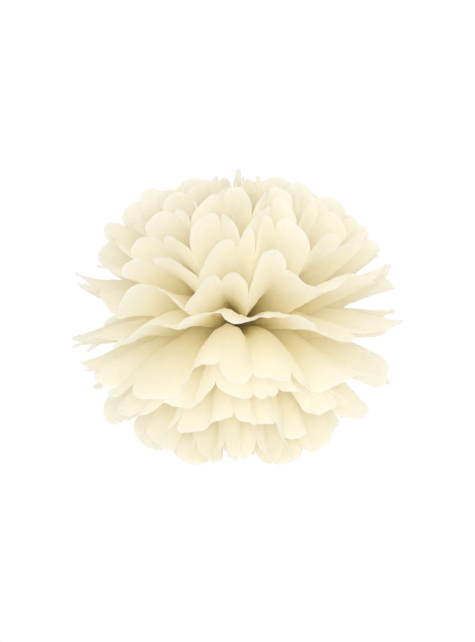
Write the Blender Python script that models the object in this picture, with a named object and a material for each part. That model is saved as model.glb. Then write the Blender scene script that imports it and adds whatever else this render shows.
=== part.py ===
# Tissue paper pom pom: a stack of sheets folded together into pleats, tied round the
# middle, cut round at the ends and pulled apart, sheet by sheet, into a ball.
#
# Frame: origin at the tie, in the middle of the ball, and +Z up through the stack.
# One fan of pleats opens towards -Y and the other towards +Y, so the two seams where
# the fans meet lie along -X and +X.

import math
import random

import bmesh
import bpy
from mathutils import Vector

# Driving dimensions, in metres
BALL_WIDTH = 0.345
BALL_HEIGHT = 0.305
PLEAT_WIDTH = 0.041
PLEATS_PER_FAN = 13
LOBE_LENGTH = 0.021  # how far the round cut runs back from a pleat's end
PAPER_THICKNESS = 0.0004
GATHER_RADIUS = 0.006  # of a sheet's waist, inside the tie
GATHER_HEIGHT = 0.009  # half the height of the stack inside the tie
WIRE_DIAMETER = 0.0008
WIRE_CLEARANCE = (0.0022, 0.0035)  # of the tie wire, beside the stack and above it
SEAM_GAP = 1.2  # degrees left open at the rim on each side of a seam
TIE_GAP = 24  # degrees more beside the tie
TIE_GAP_REACH = 0.018  # how far out from the tie this gap dwindles
LEAST_FOLD = 0.009  # height that a fold keeps where there is room to lie flat
CROWDING = 0.95  # share of the room that the steep pleats near the tie take from the sheets
GATHERING = 0.3  # share more that the tie itself takes
CRUSHED_RADIUS = 0.044  # out to which the tie presses the pleats flat
CRUSHED_EVENLY = 1.8  # how quickly they rise from there

# Elevation in degrees that each sheet is pulled to, from the top of the ball down
SHEET_ELEVATIONS = (77, 64, 52, 40, 28, 15, 0, -20, -39, -57, -74)
MIDDLE_SHEET = 7
# Two neighbouring sheets' folds stay this many degrees apart at their tips
LEAST_STEP = 8
# How unevenly the folds are pulled out by hand, in degrees either way
UNEVEN_LIFT = 3.5
UNEVEN_TURN = 1.5
BACK_TURN = 3
SEAM_TURN = 2  # how far a sheet's seam leans to one side, and that of the next to the other
# The same for how a petal's end curls, and in metres for its hollow and its cut end
UNEVEN_CURL = 4
UNEVEN_BOW = 0.003
SHARED_BOW = 0.002
UNEVEN_CUT = (-0.006, 0.003)
# Shares of a petal's length over which its curl and its hollow grow
CURLED = (0.6, 1)
BOWED = (0.15, 0.75)
# The upper sheets lean down by up to FRONT_LEAN degrees, LEAN_SIDE degrees from the front
FRONT_LEAN = 14
LEAN_MIDDLE = 0.43  # share of it half way between the lowest and the highest side
LEAN_SIDE = -45
LEAN_ROUND = 62
# How far the front fan's folds are pulled round by, from left to right, in degrees
FRONT_TURNS = (0, 1, -1, 1, 1, 0, 2, -3, -4, -4, -2, 0, 1, 0)
# Folds that were pulled to a place of their own: by sheet and fold, how far round, and
# the elevation that the fold ends at, in degrees
FRONT_FOLDS = {
    (2, 6): (4, 65), (2, 7): (-4, 57), (2, 8): (3, 66), (3, 5): (-3, 42), (3, 6): (-4, 53),
    (3, 7): (5, 46), (3, 8): (4, 56), (4, 0): (0, 40), (4, 3): (0, 24), (4, 4): (0, 31),
    (4, 5): (2, 27), (4, 6): (-2, 39), (4, 7): (-3, 32), (4, 8): (2, 46),
    (5, 0): (4, 32), (5, 1): (4, 24), (5, 4): (0, 21), (5, 5): (8, 16), (5, 6): (6, 27),
    (5, 7): (3, 24), (5, 8): (0, 36),
    (6, 0): (0, 17), (6, 1): (-2, 13), (6, 2): (0, 12), (6, 3): (2, -1), (6, 4): (4, 12),
    (6, 5): (3, 4), (6, 6): (0, 14), (6, 7): (0, 9), (6, 8): (2, 18), (6, 9): (2, 10),
    (6, 10): (0, 17),
    (7, 0): (0, -5), (7, 1): (-2, -8), (7, 2): (0, -4), (7, 3): (0, -7), (7, 4): (0, 0),
    (7, 5): (0, -3), (7, 6): (0, 3), (7, 7): (2, 0.5), (7, 8): (-1, 1.5), (7, 9): (-2, -3),
    (7, 10): (-2, -3), (7, 11): (0, -6),
    (8, 0): (0, -16), (8, 1): (-2, -19), (8, 2): (0, -17), (8, 3): (-9, -24),
    (8, 4): (-11, -22), (8, 5): (0, -25), (8, 6): (-1, -14), (8, 7): (2, -18),
    (8, 8): (4, -18), (8, 9): (2, -26), (8, 10): (4, -19),
    (9, 3): (0, -35), (9, 4): (0, -32), (9, 5): (0, -30), (9, 6): (-3, -23), (9, 7): (3, -26),
    (9, 8): (0, -23), (9, 9): (0, -33), (9, 10): (0, -29),
    (10, 4): (2, -43), (10, 5): (7, -45), (10, 6): (5, -41), (10, 7): (8, -44),
    (10, 8): (4, -42), (10, 9): (0, -52), (11, 6): (-4, -61), (11, 7): (-2, -66),
}
BACK_FOLDS = {
    (6, 13): (0, 11), (6, 12): (0, 12), (7, 13): (0, -6), (7, 12): (0, -6),
    (8, 13): (0, -24), (8, 12): (0, -23),
}
SET_FOLDS = {"front": FRONT_FOLDS, "back": BACK_FOLDS}
# Petals at the front with an end of their own: by sheet and pleat, how far it curls, in
# degrees, and how much longer it is cut, in metres
FRONT_PETALS = {
    (1, 6): (0, 0.006), (2, 1): (0, 0.008),
    (5, 0): (0, -0.014), (5, 1): (0, -0.010), (5, 4): (2, 0), (5, 5): (2, 0), (5, 6): (0, 0),
    (5, 7): (1, 0), (6, 2): (0, -0.014), (6, 3): (2, 0), (6, 4): (2, 0), (6, 5): (3, 0),
    (6, 6): (1, -0.002), (6, 7): (7, 0.003), (6, 8): (-2, -0.004),
    (7, 4): (2, 0), (7, 5): (1, 0), (7, 6): (-1.5, 0), (7, 7): (1, 0), (7, 8): (1, 0),
    (8, 4): (-1, 0), (8, 5): (2, -0.003), (8, 6): (-3, -0.002), (8, 7): (1, 0), (8, 8): (0, 0),
}
# Front folds that were spread out flat: by sheet and fold, the share of their height left
SPREAD_FOLDS = {
    (6, 5): 0.7, (6, 6): 0.5, (6, 7): 0.45, (6, 8): 0.6,
    (7, 4): 0.7, (7, 5): 0.5, (7, 6): 0.3, (7, 7): 0.25, (7, 8): 0.3, (7, 9): 0.5,
    (8, 5): 0.6, (8, 6): 0.5, (8, 7): 0.4, (8, 8): 0.5, (8, 9): 0.7,
}
# How far the front of each sheet is drawn in towards the middle one before its petals turn
# away from it, in degrees, and how far round from the front this reaches
DRAWN_IN = (-3, -6, -8, -8, -7, -4, 4, 10, 9, 7, 4)
DRAWN_ROUND = 60
# The front petals of each sheet are pulled out flatter, by this share, and bulge instead
# by so many metres
FLATTENED = (0.15, 0.3, 0.5, 0.6, 0.6, 0.6, 0.5, 0.5, 0.5, 0.35, 0.15)
FLATTENED_ROUND = (50, 80)  # wholly, and not at all
FLATTENED_FROM = 0.04
FLATTENED_TO = 0.12
BULGE_ABOVE = 0.003
BULGE_BELOW = 0.006

PAPER_COLOUR = (0.93, 0.86, 0.66, 1)
WIRE_COLOUR = (0.55, 0.56, 0.56, 1)

FANS = ("front", "back")
FAN_STARTS = {"front": -180, "back": 0}
FOLDS = range(PLEATS_PER_FAN + 1)
PLEATS = range(PLEATS_PER_FAN)
PLEAT_ANGLE = 180 / PLEATS_PER_FAN
LONGEST = BALL_WIDTH / 2
FOLD_END = LONGEST - LOBE_LENGTH
SHORTEST = BALL_HEIGHT / 2
POLE_SHEET = 75  # elevation in degrees of the sheets nearest the poles

# Radii at which a pleat has a row of points, and at which its rounded end has its middle
ROWS = (GATHER_RADIUS, 0.036, 0.095)
END_MIDDLE = 0.138
# Where points stand across a pleat's rounded end, from one fold to the other
LOBE_STOPS = (0, 0.15, 0.5, 0.85, 1)
WIRE_STEPS = 20


def between(value, start, full):
    """Grows smoothly from 0 to 1 as the value goes from start to full."""
    share = min(1, max(0, (value - start) / (full - start)))
    return share * share * (3 - 2 * share)


def front_share(fold):
    """1 for folds at the front of the ball, and 0 for those at its sides."""
    return between(abs(fold * PLEAT_ANGLE - 90), FLATTENED_ROUND[1], FLATTENED_ROUND[0])


def reach(elevation):
    """Length from the tie to a pleat's tip: the ball is wider than it is tall."""
    return LONGEST - (LONGEST - SHORTEST) * math.sin(math.radians(elevation)) ** 2


def seam_gap(radius):
    """Half the angle left open between the two fans at a seam."""
    return SEAM_GAP + TIE_GAP * math.exp(-radius / TIE_GAP_REACH)


def half_swing(radius, elevation):
    """How far a fold stands above or below its sheet's middle, in degrees.

    A pleat keeps its width, so it stands steeper where there is less room round the
    ball, and the tie crushes it near the middle.
    """
    room = radius * math.cos(math.radians(elevation)) * math.radians(PLEAT_ANGLE)
    height = math.sqrt(max(PLEAT_WIDTH**2 - room**2, LEAST_FOLD**2)) / 2
    pinched = height * (1 - math.exp(-((radius / CRUSHED_RADIUS) ** CRUSHED_EVENLY)))
    return math.degrees(math.atan2(pinched, radius))


def crowded(elevation, radius):
    """The elevation that a sheet's middle has at a radius: the steep pleats near the
    tie leave less room between the poles."""
    gathered = GATHERING * math.exp(-radius / GATHER_RADIUS / 2)
    return elevation * (1 - CROWDING * half_swing(radius, POLE_SHEET) / 90 - gathered)


def freedom(elevation):
    """The folds crowd together towards the poles, where they have less play."""
    return 1 - (elevation / 90) ** 2


def pulled(share):
    """How much of a pull at a fold's tip reaches this share of the way out from the tie."""
    return share**1.5


def lean(fan, fold, elevation):
    """The upper sheets hang lower at the front left and stand higher at the right."""
    if fan == "back" or elevation <= 0:
        return 0
    away = min(1, abs(fold * PLEAT_ANGLE - 90 - LEAN_SIDE) / LEAN_ROUND)
    lowered = LEAN_MIDDLE + (1 - LEAN_MIDDLE) * math.cos(math.pi * away)
    return -FRONT_LEAN * lowered * freedom(elevation)


def fold_rest(number, fan, fold, radius):
    """A fold's elevation before it is pulled out of line with the rest of its sheet."""
    middle = crowded(SHEET_ELEVATIONS[number - 1], radius)
    swing = half_swing(radius, middle)
    if fan == "front":
        outer = between(radius, FLATTENED_FROM, FLATTENED_TO)
        flattened = 1 - FLATTENED[number - 1] * front_share(fold) * outer
        swing *= SPREAD_FOLDS.get((number, fold), flattened)
        near = between(abs(fold * PLEAT_ANGLE - 90), DRAWN_ROUND, 0)
        half_way = math.sin(math.pi * radius / LONGEST) ** 2
        middle += DRAWN_IN[number - 1] * near * half_way
    return middle - swing if fold % 2 else middle + swing


def place(radius, azimuth, elevation):
    """Sheets leave the tie stacked one over another and turn to their own elevation."""
    turn, tilt = math.radians(azimuth), math.radians(elevation)
    flat = radius * math.cos(tilt)
    height = math.hypot(radius, GATHER_HEIGHT) * math.sin(tilt)
    return Vector((flat * math.cos(turn), flat * math.sin(turn), height))


def shared_turns():
    """How far each fold of the whole stack is pulled round the ball, in degrees."""
    draw = random.Random(5)
    turns = {("front", fold): turn for fold, turn in enumerate(FRONT_TURNS)}
    for fold in FOLDS:
        free = fold in (0, PLEATS_PER_FAN)
        turns["back", fold] = 0 if free else draw.uniform(-BACK_TURN, BACK_TURN)
    return turns


def seam_turn(number, fan, fold):
    """How far round a fold beside a seam stands, so that no seam lies over that of the next."""
    at_start = (fan, fold) in (("front", PLEATS_PER_FAN), ("back", 0))
    return SEAM_TURN * (-1) ** (number + at_start)


def shared_bows():
    """How far each pleat of the whole stack is hollowed, from fold to fold."""
    draw = random.Random(8)
    return {
        (fan, pleat): draw.uniform(-SHARED_BOW, SHARED_BOW)
        for fan in FANS
        for pleat in PLEATS
    }


def fold_lifts():
    """How far each sheet's folds are lifted at the tips, in degrees.

    Folding ties the sheets together, so no fold passes through that of the next sheet.
    """
    draw = random.Random(11)
    lifts = {}
    for fan in FANS:
        for fold in FOLDS:
            tips = {
                number: elevation
                + lean(fan, fold, elevation)
                + draw.uniform(-UNEVEN_LIFT, UNEVEN_LIFT) * freedom(elevation)
                for number, elevation in enumerate(SHEET_ELEVATIONS, 1)
            }
            for number, elevation in enumerate(SHEET_ELEVATIONS, 1):
                if (number, fold) in SET_FOLDS[fan]:
                    pull = SET_FOLDS[fan][number, fold][1] - fold_rest(number, fan, fold, FOLD_END)
                    tips[number] = elevation + pull / pulled(FOLD_END / LONGEST)
            for number in range(MIDDLE_SHEET - 1, 0, -1):
                tips[number] = max(tips[number], tips[number + 1] + LEAST_STEP)
            for number in range(MIDDLE_SHEET + 1, len(SHEET_ELEVATIONS) + 1):
                tips[number] = min(tips[number], tips[number - 1] - LEAST_STEP)
            for number, elevation in enumerate(SHEET_ELEVATIONS, 1):
                lifts[number, fan, fold] = tips[number] - elevation
    return lifts


class Sheet:
    """One sheet's folds, with the unevenness that pulling it out by hand leaves."""

    def __init__(self, number, elevation, turns, bows, lifts):
        self.number = number
        self.elevation = elevation
        self.length = reach(elevation)
        draw = random.Random(100 + number)
        play = freedom(elevation) ** 2
        self.turn = {}
        self.lift = {}
        self.curl = {}
        self.bow = {}
        self.trim = {}
        for fan in FANS:
            for fold in FOLDS:
                if fold in (0, PLEATS_PER_FAN):
                    own = seam_turn(number, fan, fold) * play
                else:
                    own = draw.uniform(-UNEVEN_TURN, UNEVEN_TURN) * play
                    own = SET_FOLDS[fan].get((number, fold), (own, 0))[0]
                self.turn[fan, fold] = turns[fan, fold] + own
                self.lift[fan, fold] = lifts[number, fan, fold]
            for pleat in PLEATS:
                self.curl[fan, pleat] = draw.uniform(-UNEVEN_CURL, UNEVEN_CURL) * play
                bow = draw.uniform(-UNEVEN_BOW, UNEVEN_BOW) * play
                self.bow[fan, pleat] = bows[fan, pleat] + bow
                if fan == "front" and number != MIDDLE_SHEET:
                    bulge = BULGE_ABOVE if elevation > 0 else BULGE_BELOW
                    self.bow[fan, pleat] += bulge * front_share(pleat + 0.5)
                self.trim[fan, pleat] = draw.uniform(*UNEVEN_CUT)
                if fan == "front" and (number, pleat) in FRONT_PETALS:
                    self.curl[fan, pleat], self.trim[fan, pleat] = FRONT_PETALS[number, pleat]

    def fold_angles(self, fan, fold, radius):
        share = radius / self.length
        gap = seam_gap(radius)
        azimuth = FAN_STARTS[fan] + gap + fold * (180 - 2 * gap) / PLEATS_PER_FAN
        azimuth += self.turn[fan, fold] * pulled(share)
        elevation = fold_rest(self.number, fan, fold, radius)
        elevation += self.lift[fan, fold] * pulled(share)
        return azimuth, elevation

    def point(self, fan, pleat, across, radius):
        """A point of a pleat: across runs from 0 at one fold to 1 at the next."""
        first = self.fold_angles(fan, pleat, radius)
        second = self.fold_angles(fan, pleat + 1, radius)
        azimuth = first[0] + (second[0] - first[0]) * across
        elevation = first[1] + (second[1] - first[1]) * across
        middle = 4 * across * (1 - across)
        share = radius / self.length
        elevation += self.curl[fan, pleat] * between(share, *CURLED) * middle
        spot = place(radius, azimuth, elevation)
        chord = place(radius, *second) - place(radius, *first)
        normal = spot.cross(chord).normalized()
        hollow = self.bow[fan, pleat] * between(share, *BOWED)
        return spot + normal * hollow * middle

    def lobe_radius(self, fan, pleat, across):
        """How far a pleat's rounded end reaches at a place across it."""
        round_end = math.sqrt(max(0, 1 - (2 * across - 1) ** 2))
        trim = self.trim[fan, pleat] * round_end
        return self.length - LOBE_LENGTH * (1 - round_end) + trim


def add_pleat(corners, sheet, fan, pleat):
    """Adds one pleat's faces. Points on a fold are shared with the next pleat."""
    mesh, shared = corners

    def vertex(across, radius, row):
        if across in (0, 1):
            key = (fan, pleat + across, row)
            if key not in shared:
                shared[key] = mesh.verts.new(sheet.point(fan, pleat, across, radius))
            return shared[key]
        return mesh.verts.new(sheet.point(fan, pleat, across, radius))

    left = [vertex(0, radius, row) for row, radius in enumerate(ROWS)]
    right = [vertex(1, radius, row) for row, radius in enumerate(ROWS)]
    middle = [None] + [vertex(0.5, radius, None) for radius in ROWS[1:]]
    mesh.faces.new((left[0], left[1], middle[1]))
    mesh.faces.new((left[0], middle[1], right[0]))
    mesh.faces.new((right[0], middle[1], right[1]))
    for row in range(1, len(ROWS) - 1):
        mesh.faces.new((left[row], left[row + 1], middle[row + 1], middle[row]))
        mesh.faces.new((middle[row], middle[row + 1], right[row + 1], right[row]))
    edge = [
        vertex(across, sheet.lobe_radius(fan, pleat, across), "end")
        for across in LOBE_STOPS
    ]
    centre = vertex(0.5, END_MIDDLE * sheet.length / LONGEST, None)
    outline = [middle[-1], left[-1], *edge, right[-1], middle[-1]]
    for first, second in zip(outline, outline[1:]):
        mesh.faces.new((centre, first, second))


def add_waist(corners, sheet):
    """Closes the sheet across its gathered middle, where the tie goes round it."""
    mesh, shared = corners
    ring = [shared[fan, fold, 0] for fan in FANS for fold in FOLDS]
    height = GATHER_HEIGHT * math.sin(math.radians(crowded(sheet.elevation, 0.001)))
    centre = mesh.verts.new((0, 0, height))
    for first, second in zip(ring, ring[1:] + ring[:1]):
        mesh.faces.new((centre, first, second))


def make_material(name, colour, roughness, metallic=0.0):
    material = bpy.data.materials.new(name)
    material.use_nodes = True
    shader = material.node_tree.nodes["Principled BSDF"]
    shader.inputs["Base Color"].default_value = colour
    shader.inputs["Roughness"].default_value = roughness
    shader.inputs["Metallic"].default_value = metallic
    return material


def make_sheet(name, sheet, material):
    mesh = bmesh.new()
    corners = (mesh, {})
    for fan in FANS:
        for pleat in PLEATS:
            add_pleat(corners, sheet, fan, pleat)
    add_waist(corners, sheet)
    data = bpy.data.meshes.new(name)
    mesh.to_mesh(data)
    mesh.free()
    data.shade_smooth()
    data.materials.append(material)
    node = bpy.data.objects.new(name, data)
    bpy.context.scene.collection.objects.link(node)
    paper = node.modifiers.new("paper", "SOLIDIFY")
    paper.thickness = PAPER_THICKNESS
    paper.offset = 0


def make_tie(material):
    """A wire once round the stack, through both seams."""
    half_width = GATHER_RADIUS + WIRE_CLEARANCE[0]
    half_height = GATHER_HEIGHT + WIRE_CLEARANCE[1]
    curve = bpy.data.curves.new("tie_wire", "CURVE")
    curve.dimensions = "3D"
    curve.bevel_depth = WIRE_DIAMETER / 2
    curve.bevel_resolution = 0
    spline = curve.splines.new("POLY")
    spline.points.add(WIRE_STEPS - 1)
    for step, spot in enumerate(spline.points):
        turn = 2 * math.pi * step / WIRE_STEPS
        spot.co = (half_width * math.cos(turn), 0, half_height * math.sin(turn), 1)
    spline.use_cyclic_u = True
    node = bpy.data.objects.new("tie_wire", curve)
    curve.materials.append(material)
    bpy.context.scene.collection.objects.link(node)


def all_sheets():
    turns = shared_turns()
    bows = shared_bows()
    lifts = fold_lifts()
    return [
        Sheet(number, elevation, turns, bows, lifts)
        for number, elevation in enumerate(SHEET_ELEVATIONS, 1)
    ]


def main():
    for leftover in list(bpy.data.objects):
        bpy.data.objects.remove(leftover)
    paper = make_material("tissue paper", PAPER_COLOUR, 0.9)
    wire = make_material("steel wire", WIRE_COLOUR, 0.4, 1.0)
    for number, sheet in enumerate(all_sheets(), 1):
        make_sheet(f"sheet_{number:02d}", sheet, paper)
    make_tie(wire)


main()
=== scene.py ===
# Tissue paper pom pom. Eleven sheets, folded together into pleats, tied round the middle,
# cut round at the ends and pulled apart into a ball. Each sheet here is the fine paper of
# the solid that it replaces: the same folds, with the curls, creases and crinkles on them.
import math
import random

import bpy
import numpy as np
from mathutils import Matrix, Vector, noise


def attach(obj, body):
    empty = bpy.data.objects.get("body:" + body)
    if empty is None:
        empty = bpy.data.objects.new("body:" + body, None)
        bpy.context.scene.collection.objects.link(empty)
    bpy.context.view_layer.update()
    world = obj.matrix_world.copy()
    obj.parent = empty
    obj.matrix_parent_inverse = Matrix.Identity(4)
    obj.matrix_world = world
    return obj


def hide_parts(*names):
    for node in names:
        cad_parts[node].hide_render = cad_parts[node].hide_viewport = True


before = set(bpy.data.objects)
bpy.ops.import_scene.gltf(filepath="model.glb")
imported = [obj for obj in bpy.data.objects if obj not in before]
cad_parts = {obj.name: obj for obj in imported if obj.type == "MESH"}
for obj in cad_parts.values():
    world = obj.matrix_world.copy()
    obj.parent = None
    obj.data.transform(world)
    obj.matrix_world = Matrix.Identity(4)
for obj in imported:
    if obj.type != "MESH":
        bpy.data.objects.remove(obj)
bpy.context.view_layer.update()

imageHeight = 642  # of the photograph's frame, in pixels

# The stack of folded sheets: sizes in metres, angles in degrees
stack = {
    "ballWidth": 0.345,
    "ballHeight": 0.305,
    "pleatWidth": 0.041,
    "pleatsPerFan": 13,
    "lobeLength": 0.021,  # how far the round cut runs back from a pleat's end
    "gatherRadius": 0.006,  # of a sheet's waist, inside the tie
    "gatherHeight": 0.009,  # half the stack's height inside the tie
    "elevations": (77, 64, 52, 40, 28, 15, 0, -20, -39, -57, -74),  # from the top down
    "poleSheet": 75,  # elevation of the sheets nearest the poles
    "middleSheet": 7,
    "leastStep": 8,  # between two sheets' folds at their tips
    "leastFold": 0.009,  # height that a fold keeps where there is room to lie flat
    "crushedRadius": 0.044,  # out to which the tie presses the pleats flat
    "crushedEvenly": 1.8,  # how quickly they rise from there
    "crowding": 0.95,  # how far the sheets close up where the poles' pleats stand steep
    "gathering": 0.3,  # how far they close up at the tie itself
    "centreRadius": 0.001,  # where the height of a sheet's middle is taken
    "pullPower": 1.5,  # how late along its length a fold is pulled to a place of its own
    "seamGap": 1.2,  # left open at the rim on each side of a seam
    "tieGap": 24,  # left open beside the tie as well
    "tieGapReach": 0.018,  # how far out from the tie this gap dwindles
    "unevenLift": 3.5,
    "unevenTurn": 1.5,
    "backTurn": 3,
    "seamTurn": 2,  # one sheet's seam leans this far to one side, the next one's to the other
    "unevenCurl": 4,
    "unevenBow": 0.003,
    "sharedBow": 0.002,
    "unevenCut": (-0.006, 0.003),
    "frontLean": 14,  # the upper sheets lean down at the front left
    "leanSide": -45,
    "leanRound": 62,
    "leanMiddle": 0.43,  # share of it half way between the lowest and the highest side
    "frontTurns": (0, 1, -1, 1, 1, 0, 2, -3, -4, -4, -2, 0, 1, 0),
    "drawnIn": (-3, -6, -8, -8, -7, -4, 4, 10, 9, 7, 4),  # to the middle sheet, at the front
    "drawnRound": 60,
    "flattened": (0.15, 0.3, 0.5, 0.6, 0.6, 0.6, 0.5, 0.5, 0.5, 0.35, 0.15),
    "flattenedRound": (50, 80),
    "flattenedAlong": (0.04, 0.12),
    "bulgeAbove": 0.003,
    "bulgeBelow": 0.006,
    "curledAlong": (0.6, 1),
    "bowedAlong": (0.15, 0.75),
    # What the hand-made unevenness is drawn from
    "turnSeed": 5,
    "bowSeed": 8,
    "liftSeed": 11,
    "sheetSeed": 100,
}

# Folds that were pulled to a place of their own, by sheet and fold: how far round, and the
# elevation that the fold ends at, in degrees
frontFolds = {
    (2, 6): (4, 65), (2, 7): (-4, 57), (2, 8): (3, 66), (3, 5): (-3, 42), (3, 6): (-4, 53),
    (3, 7): (5, 46), (3, 8): (4, 56), (4, 0): (0, 40), (4, 3): (0, 24), (4, 4): (0, 31),
    (4, 5): (2, 27), (4, 6): (-2, 39), (4, 7): (-3, 32), (4, 8): (2, 46),
    (5, 0): (4, 32), (5, 1): (4, 24), (5, 4): (0, 21), (5, 5): (8, 16), (5, 6): (6, 27),
    (5, 7): (3, 24), (5, 8): (0, 36),
    (6, 0): (0, 17), (6, 1): (-2, 13), (6, 2): (0, 12), (6, 3): (2, -1), (6, 4): (4, 12),
    (6, 5): (3, 4), (6, 6): (0, 14), (6, 7): (0, 9), (6, 8): (2, 18), (6, 9): (2, 10),
    (6, 10): (0, 17),
    (7, 0): (0, -5), (7, 1): (-2, -8), (7, 2): (0, -4), (7, 3): (0, -7), (7, 4): (0, 0),
    (7, 5): (0, -3), (7, 6): (0, 3), (7, 7): (2, 0.5), (7, 8): (-1, 1.5), (7, 9): (-2, -3),
    (7, 10): (-2, -3), (7, 11): (0, -6),
    (8, 0): (0, -16), (8, 1): (-2, -19), (8, 2): (0, -17), (8, 3): (-9, -24),
    (8, 4): (-11, -22), (8, 5): (0, -25), (8, 6): (-1, -14), (8, 7): (2, -18),
    (8, 8): (4, -18), (8, 9): (2, -26), (8, 10): (4, -19),
    (9, 3): (0, -35), (9, 4): (0, -32), (9, 5): (0, -30), (9, 6): (-3, -23), (9, 7): (3, -26),
    (9, 8): (0, -23), (9, 9): (0, -33), (9, 10): (0, -29),
    (10, 4): (2, -43), (10, 5): (7, -45), (10, 6): (5, -41), (10, 7): (8, -44),
    (10, 8): (4, -42), (10, 9): (0, -52), (11, 6): (-4, -61), (11, 7): (-2, -66),
}
backFolds = {
    (6, 13): (0, 11), (6, 12): (0, 12), (7, 13): (0, -6), (7, 12): (0, -6),
    (8, 13): (0, -24), (8, 12): (0, -23),
}
setFolds = {"front": frontFolds, "back": backFolds}
# Front petals with an end of their own, by sheet and pleat: how far it curls, in degrees,
# and how much longer it is cut, in metres
frontPetals = {
    (1, 6): (0, 0.006), (2, 1): (0, 0.008),
    (5, 0): (0, -0.014), (5, 1): (0, -0.010), (5, 4): (2, 0), (5, 5): (2, 0), (5, 6): (0, 0),
    (5, 7): (1, 0), (6, 2): (0, -0.014), (6, 3): (2, 0), (6, 4): (2, 0), (6, 5): (3, 0),
    (6, 6): (1, -0.002), (6, 7): (7, 0.003), (6, 8): (-2, -0.004),
    (7, 4): (2, 0), (7, 5): (1, 0), (7, 6): (-1.5, 0), (7, 7): (1, 0), (7, 8): (1, 0),
    (8, 4): (-1, 0), (8, 5): (2, -0.003), (8, 6): (-3, -0.002), (8, 7): (1, 0), (8, 8): (0, 0),
}
# Front folds that were spread out flat, by sheet and fold: the share of their height left
spreadFolds = {
    (6, 5): 0.7, (6, 6): 0.5, (6, 7): 0.45, (6, 8): 0.6,
    (7, 4): 0.7, (7, 5): 0.5, (7, 6): 0.3, (7, 7): 0.25, (7, 8): 0.3, (7, 9): 0.5,
    (8, 5): 0.6, (8, 6): 0.5, (8, 7): 0.4, (8, 8): 0.5, (8, 9): 0.7,
}

# What the fine paper adds to the solid sheets: sizes in metres
fine = {
    "stepsAcross": 16,
    "stepsAlong": 54,
    "stepCrowding": 0.9,  # below 1 the steps stand closer towards the cut edge
    "foldSoftness": 0.6,  # how far a pleat's zigzag relaxes into a wave at the rim
    "softAlong": (0.3, 0.95),
    "archPower": 0.8,  # how quickly the shape between two folds swells from them
    "tipCurl": 0.006,
    "tipCurlLength": 0.036,
    "tipTwist": 0.9,
    "ruffle": 0.0011,  # waves along a cut edge
    "ruffleLength": 0.03,
    "ruffleWaves": (2, 3, 4),
    "ruffleDrift": 0.011,  # length over which they run a radian to one side
    "rufflePhase": 6,
    "crisp": 0.9,  # the steep pleats at the ball's sides keep straight, crisp ends
    "crispRound": (42, 72),
    "gather": 0.0014,  # creases that run out from the tie
    "gatherDensity": (6, 11),  # across a pleat, and for each metre along it
    "fineGather": (2.3, 0.5),  # how much closer and how much lower the finer ones are
    "gatherRise": (0.06, 0.3),  # shares of the length over which they rise and fade
    "gatherFade": (0.5, 0.9),
    "gatherFaded": 0.4,
    "noiseSpread": 90,  # of the places in the noise that the petals' creases come from
    "crumple": 0.0016,
    "crumpleSize": 0.034,
    "crumpleStart": 0.03,  # from the tie, with the full crumples crumpleGrowth further
    "crumpleGrowth": 0.07,
    "crinkle": 0.0007,
    "crinkleSize": 0.009,
    "crumpleSeed": 5,
    "cutSkew": 0.12,  # how far a petal's round end leans to one side
}

fans = ("front", "back")
fanStarts = {"front": -180, "back": 0}
foldCount = stack["pleatsPerFan"] + 1
pleats = range(stack["pleatsPerFan"])
pleatAngle = 180 / stack["pleatsPerFan"]
longest = stack["ballWidth"] / 2
foldEnd = longest - stack["lobeLength"]


# Grows smoothly from 0 to 1 as the value goes from start to full
def between(value, start, full):
    share = np.clip((value - start) / (full - start), 0, 1)
    return share * share * (3 - 2 * share)


def frontShare(fold):
    return between(abs(fold * pleatAngle - 90), *reversed(stack["flattenedRound"]))


def reach(elevation):
    shortest = stack["ballHeight"] / 2
    return longest - (longest - shortest) * math.sin(math.radians(elevation)) ** 2


# A pleat keeps its width, so it stands steeper where there is less room round the ball
def halfSwing(radius, elevation):
    room = radius * np.cos(np.radians(elevation)) * math.radians(pleatAngle)
    least = stack["leastFold"] ** 2
    height = np.sqrt(np.maximum(stack["pleatWidth"] ** 2 - room**2, least)) / 2
    pressed = np.exp(-((radius / stack["crushedRadius"]) ** stack["crushedEvenly"]))
    pinched = height * (1 - pressed)
    return np.degrees(np.arctan2(pinched, radius))


def crowded(elevation, radius):
    gathered = stack["gathering"] * np.exp(-radius / stack["gatherRadius"] / 2)
    steep = halfSwing(radius, stack["poleSheet"])
    return elevation * (1 - stack["crowding"] * steep / 90 - gathered)


def freedom(elevation):
    return 1 - (elevation / 90) ** 2


def pulled(share):
    return share ** stack["pullPower"]


def lean(fan, fold, elevation):
    if fan == "back" or elevation <= 0:
        return 0
    away = min(1, abs(fold * pleatAngle - 90 - stack["leanSide"]) / stack["leanRound"])
    lowered = stack["leanMiddle"] + (1 - stack["leanMiddle"]) * math.cos(math.pi * away)
    return -stack["frontLean"] * lowered * freedom(elevation)


# A fold's elevation before it is pulled out of line with the rest of its sheet
def foldRest(number, fan, fold, radius):
    middle = crowded(stack["elevations"][number - 1], radius)
    swing = halfSwing(radius, middle)
    if fan == "front":
        outer = between(radius, *stack["flattenedAlong"])
        flattened = 1 - stack["flattened"][number - 1] * frontShare(fold) * outer
        swing = swing * spreadFolds.get((number, fold), flattened)
        near = between(abs(fold * pleatAngle - 90), stack["drawnRound"], 0)
        halfWay = np.sin(np.pi * radius / longest) ** 2
        middle = middle + stack["drawnIn"][number - 1] * near * halfWay
    return middle - swing if fold % 2 else middle + swing


def place(radius, azimuth, elevation):
    turn, tilt = np.radians(azimuth), np.radians(elevation)
    flat = radius * np.cos(tilt)
    height = np.hypot(radius, stack["gatherHeight"]) * np.sin(tilt)
    return np.stack((flat * np.cos(turn), flat * np.sin(turn), height), axis=-1)


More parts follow.
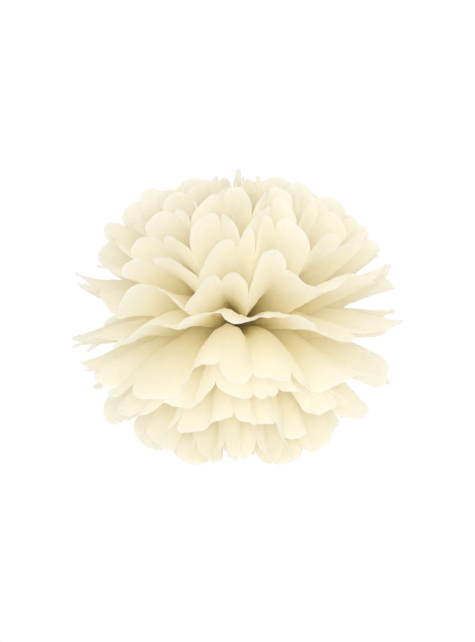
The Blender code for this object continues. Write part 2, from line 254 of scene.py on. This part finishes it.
def sharedTurns():
    draw = random.Random(stack["turnSeed"])
    turns = {("front", fold): turn for fold, turn in enumerate(stack["frontTurns"])}
    for fold in range(foldCount):
        free = fold in (0, foldCount - 1)
        turns["back", fold] = 0 if free else draw.uniform(-stack["backTurn"], stack["backTurn"])
    return turns


# No sheet's seam lies over that of the next
def seamTurn(number, fan, fold):
    atStart = (fan, fold) in (("front", foldCount - 1), ("back", 0))
    return stack["seamTurn"] * (-1) ** (number + atStart)


def sharedBows():
    draw = random.Random(stack["bowSeed"])
    most = stack["sharedBow"]
    return {(fan, pleat): draw.uniform(-most, most) for fan in fans for pleat in pleats}


# How far each sheet's folds are lifted at the tips. Folding ties the sheets together, so
# no fold passes through that of the next sheet.
def foldLifts():
    draw = random.Random(stack["liftSeed"])
    numbered = list(enumerate(stack["elevations"], 1))
    lifts = {}
    for fan in fans:
        for fold in range(foldCount):
            tips = {}
            for number, elevation in numbered:
                uneven = draw.uniform(-stack["unevenLift"], stack["unevenLift"])
                tips[number] = elevation + lean(fan, fold, elevation) + uneven * freedom(elevation)
            for number, elevation in numbered:
                if (number, fold) in setFolds[fan]:
                    pull = setFolds[fan][number, fold][1] - foldRest(number, fan, fold, foldEnd)
                    tips[number] = elevation + pull / pulled(foldEnd / longest)
            for number in range(stack["middleSheet"] - 1, 0, -1):
                tips[number] = max(tips[number], tips[number + 1] + stack["leastStep"])
            for number in range(stack["middleSheet"] + 1, len(numbered) + 1):
                tips[number] = min(tips[number], tips[number - 1] - stack["leastStep"])
            for number, elevation in numbered:
                lifts[number, fan, fold] = tips[number] - elevation
    return lifts


class Sheet:
    def __init__(self, number, elevation, turns, bows, lifts):
        self.number = number
        self.elevation = elevation
        self.length = reach(elevation)
        self.lifts = lifts
        draw = random.Random(stack["sheetSeed"] + number)
        play = freedom(elevation) ** 2
        self.turn, self.curl, self.bow, self.trim = {}, {}, {}, {}
        for fan in fans:
            for fold in range(foldCount):
                if fold in (0, foldCount - 1):
                    own = seamTurn(number, fan, fold) * play
                else:
                    own = draw.uniform(-stack["unevenTurn"], stack["unevenTurn"]) * play
                    own = setFolds[fan].get((number, fold), (own, 0))[0]
                self.turn[fan, fold] = turns[fan, fold] + own
            for pleat in pleats:
                key = fan, pleat
                self.curl[key] = draw.uniform(-stack["unevenCurl"], stack["unevenCurl"]) * play
                bow = draw.uniform(-stack["unevenBow"], stack["unevenBow"]) * play
                self.bow[key] = bows[key] + bow
                if fan == "front" and number != stack["middleSheet"]:
                    bulge = stack["bulgeAbove" if elevation > 0 else "bulgeBelow"]
                    self.bow[key] += bulge * frontShare(pleat + 0.5)
                self.trim[key] = draw.uniform(*stack["unevenCut"])
                if fan == "front" and (number, pleat) in frontPetals:
                    self.curl[key], self.trim[key] = frontPetals[number, pleat]

    def foldAngles(self, fan, fold, radius):
        share = radius / self.length
        gap = stack["seamGap"] + stack["tieGap"] * np.exp(-radius / stack["tieGapReach"])
        azimuth = fanStarts[fan] + gap + fold * (180 - 2 * gap) / stack["pleatsPerFan"]
        azimuth = azimuth + self.turn[fan, fold] * pulled(share)
        elevation = foldRest(self.number, fan, fold, radius)
        return azimuth, elevation + self.lifts[self.number, fan, fold] * pulled(share)

    # across and radius are arrays: across runs from 0 at one fold to 1 at the next
    def points(self, fan, pleat, across, radius, top):
        first = self.foldAngles(fan, pleat, radius)
        second = self.foldAngles(fan, pleat + 1, radius)
        middle = 4 * across * (1 - across)
        share = radius / self.length
        soft = fine["foldSoftness"] * between(share, *fine["softAlong"])
        wave = across + soft * ((1 - np.cos(np.pi * across)) / 2 - across)
        azimuth = first[0] + (second[0] - first[0]) * across
        elevation = first[1] + (second[1] - first[1]) * wave
        curled = self.curl[fan, pleat] * between(share, *stack["curledAlong"])
        elevation = elevation + curled * middle
        spots = place(radius, azimuth, elevation)
        chords = place(radius, *second) - place(radius, *first)
        normals = np.cross(spots, chords)
        normals /= np.linalg.norm(normals, axis=-1, keepdims=True)
        hollow = self.bow[fan, pleat] * between(share, *stack["bowedAlong"]) * middle
        hollow = hollow + self.relief(fan, pleat, across, radius, top)
        return spots + normals * hollow[..., None]

    # The fine shape that a petal has between its two folds, where it is 0
    def relief(self, fan, pleat, across, radius, top):
        draw = random.Random(f"{self.number} {fan} {pleat}")
        arch = np.sin(np.pi * across) ** fine["archPower"]
        fromEdge = top - radius
        twist = fine["tipTwist"]
        curled = draw.uniform(-1, 1) + draw.uniform(-twist, twist) * (2 * across - 1)
        curled = curled * between(fromEdge, fine["tipCurlLength"], 0) ** 2
        waves = draw.choice(fine["ruffleWaves"])
        drift = radius / fine["ruffleDrift"]
        ruffle = np.sin(np.pi * waves * across + draw.uniform(0, fine["rufflePhase"]) + drift)
        ruffle = ruffle * between(fromEdge, fine["ruffleLength"], 0)
        toSeam = between(abs((pleat + 0.5) * pleatAngle - 90), *fine["crispRound"])
        loose = 1 - fine["crisp"] * toSeam * freedom(self.elevation)
        seed = draw.uniform(0, fine["noiseSpread"])
        acrossDensity, alongDensity = fine["gatherDensity"]
        closer, lower = fine["fineGather"]
        creases = np.empty(radius.shape)
        for index, reached in np.ndenumerate(radius):
            spot = (across[index[0], 0] * acrossDensity + seed, reached * alongDensity, seed)
            finer = noise.noise((spot[0] * closer, spot[1], seed))
            creases[index] = noise.noise(spot) + lower * finer
        share = radius / self.length
        faded = 1 - fine["gatherFaded"] * between(share, *fine["gatherFade"])
        held = between(share, *fine["gatherRise"]) * faded
        shape = (fine["tipCurl"] * curled + fine["ruffle"] * ruffle) * loose
        return (shape + fine["gather"] * creases * held) * arch

    def lobeRadius(self, fan, pleat, across):
        draw = random.Random(f"cut {self.number} {fan} {pleat}")
        skew = draw.uniform(-fine["cutSkew"], fine["cutSkew"])
        leaned = across + skew * 2 * across * (1 - across)
        roundEnd = np.sqrt(np.maximum(0, 1 - (2 * leaned - 1) ** 2))
        trim = self.trim[fan, pleat] * roundEnd
        return self.length - stack["lobeLength"] * (1 - roundEnd) + trim


# Crumples carry on across the folds and from sheet to sheet, so they go by a point's place
# in space. Only the small crinkles are each sheet's own.
def crumpled(spots, number):
    noise.seed_set(fine["crumpleSeed"])  # noise_vector goes by the clock until it is seeded
    moved = np.array(spots)
    for spot in moved:
        distance = math.hypot(*spot)
        free = min(1, max(0, (distance - fine["crumpleStart"]) / fine["crumpleGrowth"]))
        start = Vector(spot)
        push = noise.noise_vector(start / fine["crumpleSize"])
        small = noise.noise_vector(start / fine["crinkleSize"] + Vector((0, number, 0)))
        spot += np.array(push * fine["crumple"] + small * fine["crinkle"]) * free
    return moved


def sheetMesh(name, sheet):
    acrossCount, alongCount = fine["stepsAcross"], fine["stepsAlong"]
    across = (0.5 - 0.5 * np.cos(np.pi * np.arange(acrossCount + 1) / acrossCount))[:, None]
    along = (np.arange(alongCount + 1) / alongCount)[None, :] ** fine["stepCrowding"]
    spots, flatPlaces, toEdge, faces = [], [], [], []
    ring = []
    for side, fan in zip((1, -1), fans):
        start = len(spots)
        for pleat in pleats:
            top = sheet.lobeRadius(fan, pleat, across)
            radius = stack["gatherRadius"] + (top - stack["gatherRadius"]) * along
            grid = sheet.points(fan, pleat, across, radius, top)
            columns = range(acrossCount + (pleat == pleats[-1]))
            for column in columns:
                spots.extend(grid[column])
                flatAcross = (pleat + float(across[column, 0])) * stack["pleatWidth"]
                flatPlaces.extend((flatAcross, side * float(reached)) for reached in radius[column])
                toEdge.extend(radius[column, -1] - radius[column])
        stride = alongCount + 1
        for column in range(acrossCount * len(pleats)):
            for row in range(alongCount):
                corner = start + column * stride + row
                faces.append((corner, corner + stride, corner + stride + 1, corner + 1))
        ring += [start + column * stride for column in range(0, acrossCount * len(pleats) + 1)]
    centre = len(spots)
    lifted = math.radians(crowded(sheet.elevation, stack["centreRadius"]))
    height = stack["gatherHeight"] * math.sin(lifted)
    spots.append(np.array((0, 0, height)))
    flatPlaces.append((0.5 * stack["pleatWidth"] * len(pleats), 0))
    toEdge.append(sheet.length)
    faces += [(centre, b, a) for a, b in zip(ring, ring[1:] + ring[:1])]
    mesh = bpy.data.meshes.new(name)
    mesh.from_pydata([tuple(spot) for spot in crumpled(spots, sheet.number)], [], faces)
    flatMap = mesh.uv_layers.new(name="flatSheet")
    corners = np.empty(len(mesh.loops), np.int32)
    mesh.loops.foreach_get("vertex_index", corners)
    flatMap.data.foreach_set("uv", np.array(flatPlaces, np.float32)[corners].ravel())
    mesh.attributes.new("toEdge", "FLOAT", "POINT").data.foreach_set("value", toEdge)
    mesh.shade_smooth()
    return mesh


def linear(hexColour):
    parts = [int(hexColour[i : i + 2], 16) / 255 for i in (1, 3, 5)]
    return (*(v / 12.92 if v <= 0.04045 else ((v + 0.055) / 1.055) ** 2.4 for v in parts), 1)


def addNode(tree, kind, inputs=None, **settings):
    node = tree.nodes.new("ShaderNode" + kind)
    for name, value in settings.items():
        setattr(node, name, value)
    for name, value in (inputs or {}).items():
        if isinstance(value, bpy.types.NodeSocket):
            tree.links.new(value, node.inputs[name])
        else:
            node.inputs[name].default_value = value
    return node


def newMaterial(name):
    material = bpy.data.materials.new(name)
    material.use_nodes = True
    material.node_tree.nodes.clear()
    return material, material.node_tree


paper = {
    "colour": "#fdfaf1",
    "clouded": "#fcf8ec",  # where the fibres lie thicker
    "edgeHighlightAndFold": "#fefdf8",  # painted highlight along the cut edges, which catch light from both sides; the same paler colour marks a line along each fold
    "tieShade": "#fef9e2",  # painted shade: warmer colour near the tie, standing in for light that has been through many sheets
    "through": "#fefbef",  # of the light that comes through a sheet
    # painted shade in the glow through a sheet, near the tie
    "tieShadeThrough": "#fff7d4",
    "tieShadeAlong": (0.05, 0.14),  # over which the painted shade fades out, from the tie
    "letsThrough": (0.66, 0.76),
    # edgeWidth: how far in from a cut edge the painted highlight reaches
    "edgeWidth": 0.0035,
    "roughness": 0.86,
    "specular": 0.25,
    "ior": 1.45,
    "cloudSize": 0.006,
    "cloudDetail": 4.0,
    "cloudRoughness": 0.6,  # how strong each finer layer of fibres is beside the last
    "cloudRange": (0.35, 0.7),  # of the noise, from thin paper to thick
    "throughRange": (0.3, 0.7),
    "grainSize": (0.0012, 0.009),  # across and along the way the sheet was made
    "crinkleSize": 0.012,
    "crinkleWander": 0.012,  # how far the crinkles' lines stray, and over what length
    "wanderSize": 0.02,
    "ridgeWidth": 0.12,  # share of a crinkle's size
    "ridgeShare": 0.5,  # height of the ridges beside that of the grain
    "crinkleDepth": 0.00035,
    "bumpStrength": 0.6,
    "foldLine": 0.0006,  # width of the paler line on each side of a fold
}


# Cream tissue paper: matt, thin enough for light to glow through, clouded by its fibres,
# with a fine grain one way, sharp little crinkles and a paler line along each fold; a painted
# highlight along the cut edges and painted shade near the tie
def paperMaterial():
    material, tree = newMaterial("cream tissue paper")
    flat = addNode(tree, "UVMap", uv_map="flatSheet").outputs["UV"]
    clouds = addNode(tree, "TexNoise", {
        "Vector": flat, "Scale": 1 / paper["cloudSize"], "Detail": paper["cloudDetail"],
        "Roughness": paper["cloudRoughness"],
    }, noise_dimensions="2D").outputs["Fac"]
    stretched = addNode(tree, "Mapping", {
        "Vector": flat, "Scale": (1 / paper["grainSize"][0], 1 / paper["grainSize"][1], 1),
    }).outputs["Vector"]
    grain = addNode(tree, "TexNoise", {
        "Vector": stretched, "Scale": 1.0, "Detail": 2.0,
    }, noise_dimensions="2D").outputs["Fac"]
    bent = addNode(tree, "TexNoise", {
        "Vector": flat, "Scale": 1 / paper["wanderSize"], "Detail": 2.0,
    }, noise_dimensions="2D").outputs["Color"]
    wandering = addNode(tree, "VectorMath", {
        0: bent, "Scale": paper["crinkleWander"],
    }, operation="SCALE")
    shifted = addNode(tree, "VectorMath", {0: flat, 1: wandering.outputs[0]}, operation="ADD")
    crinkles = addNode(tree, "TexVoronoi", {
        "Vector": shifted.outputs[0], "Scale": 1 / paper["crinkleSize"],
    }, voronoi_dimensions="2D", feature="DISTANCE_TO_EDGE").outputs["Distance"]
    ridges = addNode(tree, "MapRange", {
        "Value": crinkles, "From Max": paper["ridgeWidth"], "To Min": 1.0, "To Max": 0.0,
    }).outputs["Result"]
    axes = addNode(tree, "SeparateXYZ", {"Vector": flat})
    toFold = addNode(tree, "Math", {
        0: axes.outputs["X"], 1: stack["pleatWidth"] / 2,
    }, operation="PINGPONG").outputs[0]
    foldLine = addNode(tree, "MapRange", {
        "Value": toFold, "From Max": paper["foldLine"], "To Min": 1.0, "To Max": 0.0,
    }).outputs["Result"]
    height = addNode(tree, "Math", {
        0: ridges, 1: paper["ridgeShare"], 2: grain,
    }, operation="MULTIPLY_ADD").outputs[0]
    bump = addNode(tree, "Bump", {
        "Height": height, "Distance": paper["crinkleDepth"], "Strength": paper["bumpStrength"],
    }).outputs["Normal"]
    clouded = addNode(tree, "MapRange", {
        "Value": clouds, "From Min": paper["cloudRange"][0], "From Max": paper["cloudRange"][1],
        "To Max": 1.0,
    }).outputs["Result"]
    # Painted shade: the colour and the glow turn warmer towards the tie
    fromTie = addNode(tree, "Math", {0: axes.outputs["Y"]}, operation="ABSOLUTE").outputs[0]
    tieShade = addNode(tree, "MapRange", {
        "Value": fromTie, "From Min": paper["tieShadeAlong"][0], "From Max": paper["tieShadeAlong"][1],
        "To Min": 1.0, "To Max": 0.0,
    }, interpolation_type="SMOOTHSTEP").outputs["Result"]
    toEdge = addNode(tree, "Attribute", attribute_name="toEdge").outputs["Fac"]
    # Painted highlight: the colour and the glow turn paler near a cut edge, and along each fold
    edgeHighlightAndFold = addNode(tree, "MapRange", {
        "Value": toEdge, "From Max": paper["edgeWidth"], "To Min": 1.0, "To Max": foldLine,
    }).outputs["Result"]
    colour = addNode(tree, "Mix", {
        0: clouded, 6: linear(paper["colour"]), 7: linear(paper["clouded"]),
    }, data_type="RGBA").outputs[2]
    # painted shade near the tie, in the surface colour
    colour = addNode(tree, "Mix", {
        0: tieShade, 6: colour, 7: linear(paper["tieShade"]),
    }, data_type="RGBA").outputs[2]
    # painted highlight at the cut edges, with the paler fold line, in the surface colour
    colour = addNode(tree, "Mix", {
        0: edgeHighlightAndFold, 6: colour, 7: linear(paper["edgeHighlightAndFold"]),
    }, data_type="RGBA").outputs[2]
    # painted shade near the tie, in the glow through the sheet
    through = addNode(tree, "Mix", {
        0: tieShade, 6: linear(paper["through"]), 7: linear(paper["tieShadeThrough"]),
    }, data_type="RGBA").outputs[2]
    # painted highlight at the cut edges, with the paler fold line, in the glow through the sheet
    through = addNode(tree, "Mix", {
        0: edgeHighlightAndFold, 6: through, 7: linear(paper["edgeHighlightAndFold"]),
    }, data_type="RGBA").outputs[2]
    surface = addNode(tree, "BsdfPrincipled", {
        "Base Color": colour, "Roughness": paper["roughness"], "IOR": paper["ior"],
        "Specular IOR Level": paper["specular"], "Normal": bump,
    }).outputs["BSDF"]
    glow = addNode(tree, "BsdfTranslucent", {"Color": through, "Normal": bump}).outputs["BSDF"]
    share = addNode(tree, "MapRange", {
        "Value": clouds,
        "From Min": paper["throughRange"][0], "From Max": paper["throughRange"][1],
        "To Min": paper["letsThrough"][1], "To Max": paper["letsThrough"][0],
    }).outputs["Result"]
    mixed = addNode(tree, "MixShader", {0: share, 1: surface, 2: glow}).outputs[0]
    addNode(tree, "OutputMaterial", {"Surface": mixed})
    return material


wire = {
    "diameter": 0.0008,
    "clearance": (0.0022, 0.0035),  # beside the stack and above it
    "steps": 96,  # round the ring
    "bevelSteps": 3,  # gives the wire itself 10 sides
    "colour": "#b4b6b7",
    "dulled": "#8f9294",
    "roughness": (0.32, 0.5),
    "spangle": 0.0015,  # size of the zinc's crystals
}


# Galvanised florist's wire: soft grey metal with dull zinc crystals
def wireMaterial():
    material, tree = newMaterial("galvanised wire")
    spot = addNode(tree, "TexCoord").outputs["Object"]
    spangles = addNode(tree, "TexVoronoi", {
        "Vector": spot, "Scale": 1 / wire["spangle"],
    }).outputs["Color"]
    shade = addNode(tree, "SeparateColor", {"Color": spangles}).outputs[0]
    colour = addNode(tree, "Mix", {
        0: shade, 6: linear(wire["colour"]), 7: linear(wire["dulled"]),
    }, data_type="RGBA").outputs[2]
    rough = addNode(tree, "MapRange", {
        "Value": shade, "To Min": wire["roughness"][0], "To Max": wire["roughness"][1],
    }).outputs["Result"]
    surface = addNode(tree, "BsdfPrincipled", {
        "Base Color": colour, "Metallic": 1.0, "Roughness": rough,
    }).outputs["BSDF"]
    addNode(tree, "OutputMaterial", {"Surface": surface})
    return material


def addObject(name, data, material=None):
    node = bpy.data.objects.new(name, data)
    if material:
        data.materials.append(material)
    bpy.context.scene.collection.objects.link(node)
    return node


def makeTie():
    halfWidth = stack["gatherRadius"] + wire["clearance"][0]
    halfHeight = stack["gatherHeight"] + wire["clearance"][1]
    curve = bpy.data.curves.new("wire", "CURVE")
    curve.dimensions = "3D"
    curve.bevel_depth = wire["diameter"] / 2
    curve.bevel_resolution = wire["bevelSteps"]
    spline = curve.splines.new("POLY")
    spline.points.add(wire["steps"] - 1)
    for step, spot in enumerate(spline.points):
        turn = 2 * math.pi * step / wire["steps"]
        spot.co = (halfWidth * math.cos(turn), 0, halfHeight * math.sin(turn), 1)
    spline.use_cyclic_u = True
    tie = addObject("wire", curve, wireMaterial())
    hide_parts("tie_wire")
    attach(tie, "root")
    return tie


def makeSheets():
    turns, bows, lifts = sharedTurns(), sharedBows(), foldLifts()
    material = paperMaterial()
    for number, elevation in enumerate(stack["elevations"], 1):
        sheet = Sheet(number, elevation, turns, bows, lifts)
        name = f"paper_{number:02d}"
        node = addObject(name, sheetMesh(name, sheet), material)
        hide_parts(f"sheet_{number:02d}")
        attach(node, "root")
    print("sheets made:", len(stack["elevations"]))


tie = makeTie()
makeSheets()

studio = {
    "floorHeight": -0.78,  # the ball hangs well above it
    "floorSize": 3,
    "floorColour": "#f4f3f1",
    "floorMottle": "#f9f8f6",
    "mottleSize": 1 / 3,
    "floorRoughness": 0.8,
    "backdrop": 1.0,  # brightness behind the ball, and all round it
    "walls": 0.87,
    "backdropEdge": (0.3, 0.9),  # of the way ahead, from the walls to the full backdrop
    "cameraDistance": 1.35,
    "cameraElevation": 0,
    "seenWidth": 0.343,  # of the ball, across its 333 pixels in the photograph
    "seenPixels": 333,
    "tieFromCentre": (-1.5, -0.5),  # pixels right of and above the picture's middle
    # Place, width and power of each soft light
    "lights": {
        "front": ((0, -1.3, 0.06), 0.3, 6.2),
        "right": ((1.5, -0.4, -0.1), 1.0, 2),
    },
}


# A floor of smooth painted board, so faintly mottled that it reads as plain
def makeFloor():
    material, tree = newMaterial("pale painted board")
    mottle = addNode(tree, "TexNoise", {
        "Scale": 1 / studio["mottleSize"], "Detail": 2.0,
    }).outputs["Fac"]
    colour = addNode(tree, "Mix", {
        0: mottle, 6: linear(studio["floorColour"]), 7: linear(studio["floorMottle"]),
    }, data_type="RGBA").outputs[2]
    surface = addNode(tree, "BsdfPrincipled", {
        "Base Color": colour, "Roughness": studio["floorRoughness"],
    }).outputs["BSDF"]
    addNode(tree, "OutputMaterial", {"Surface": surface})
    half = studio["floorSize"] / 2
    mesh = bpy.data.meshes.new("floor")
    corners = [(-half, -half, 0), (half, -half, 0), (half, half, 0), (-half, half, 0)]
    mesh.from_pydata(corners, [], [(0, 1, 2, 3)])
    floor = addObject("floor", mesh, material)
    floor.location.z = studio["floorHeight"]


def makeLight():
    world = bpy.data.worlds.new("white studio")
    bpy.context.scene.world = world
    world.use_nodes = True
    background = world.node_tree.nodes["Background"]
    background.inputs["Color"].default_value = (1, 1, 1, 1)
    way = addNode(world.node_tree, "TexCoord").outputs["Generated"]
    ahead = addNode(world.node_tree, "SeparateXYZ", {"Vector": way}).outputs["Y"]
    brightness = addNode(world.node_tree, "MapRange", {
        "Value": ahead,
        "From Min": studio["backdropEdge"][0], "From Max": studio["backdropEdge"][1],
        "To Min": studio["walls"], "To Max": studio["backdrop"],
    }).outputs["Result"]
    world.node_tree.links.new(brightness, background.inputs["Strength"])
    for name, (spot, width, power) in studio["lights"].items():
        light = bpy.data.lights.new(name, "AREA")
        light.size = width
        light.energy = power
        lamp = addObject(name, light)
        lamp.location = spot
        lamp.rotation_euler = (-Vector(spot)).to_track_quat("-Z", "Y").to_euler()


def makeCamera():
    camera = bpy.data.cameras.new("camera")
    holder = addObject("camera", camera)
    tilt = math.radians(studio["cameraElevation"])
    back = Vector((0, -math.cos(tilt), math.sin(tilt)))
    holder.location = back * studio["cameraDistance"]
    holder.rotation_euler = (-back).to_track_quat("-Z", "Y").to_euler()
    seenHeight = studio["seenWidth"] / studio["seenPixels"] * imageHeight
    camera.lens = camera.sensor_width * studio["cameraDistance"] / seenHeight
    camera.shift_x = -studio["tieFromCentre"][0] / imageHeight
    camera.shift_y = -studio["tieFromCentre"][1] / imageHeight
    bpy.context.scene.camera = holder


makeFloor()
makeLight()
makeCamera()
bpy.context.scene.view_settings.view_transform = "Standard"
print("studio made")
